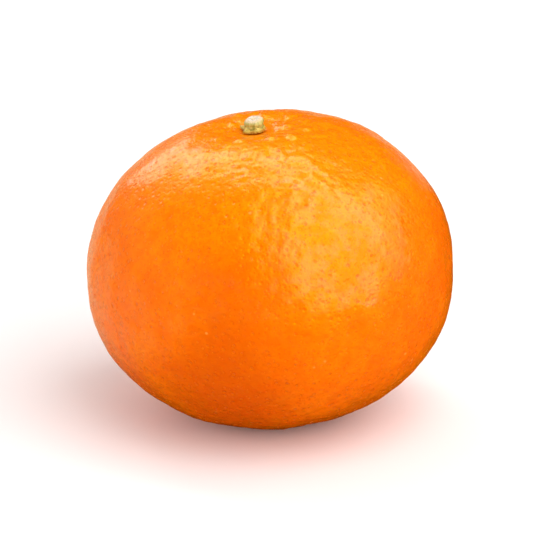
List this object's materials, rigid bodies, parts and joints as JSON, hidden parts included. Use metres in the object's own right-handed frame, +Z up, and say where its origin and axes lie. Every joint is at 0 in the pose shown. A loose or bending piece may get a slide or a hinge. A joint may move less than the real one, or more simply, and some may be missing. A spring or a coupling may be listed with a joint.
{
  "type": "mandarin",
  "caption": "Whole mandarin with its stem end up: a flattened round citrus fruit with a pebbled orange rind, a star-shaped green calyx and a short cut stem stub, resting on its blossom end.",
  "frame": {"origin": "on the surface that the fruit rests on, in the middle of its bounding box seen from above", "axes": "+Z up, out of the stem end, which leans about 4 degrees to -X; -Y is the side seen from the front, +X to the right"},
  "size_m": [0.0638, 0.064, 0.0541],
  "materials": {
    "rind": "satin",
    "calyx": "matte",
    "stem": "matte"
  },
  "bodies": {
    "root": {"fruit": "rind", "calyx": "calyx", "stem_stub": "stem"}
  },
  "joints": []
}
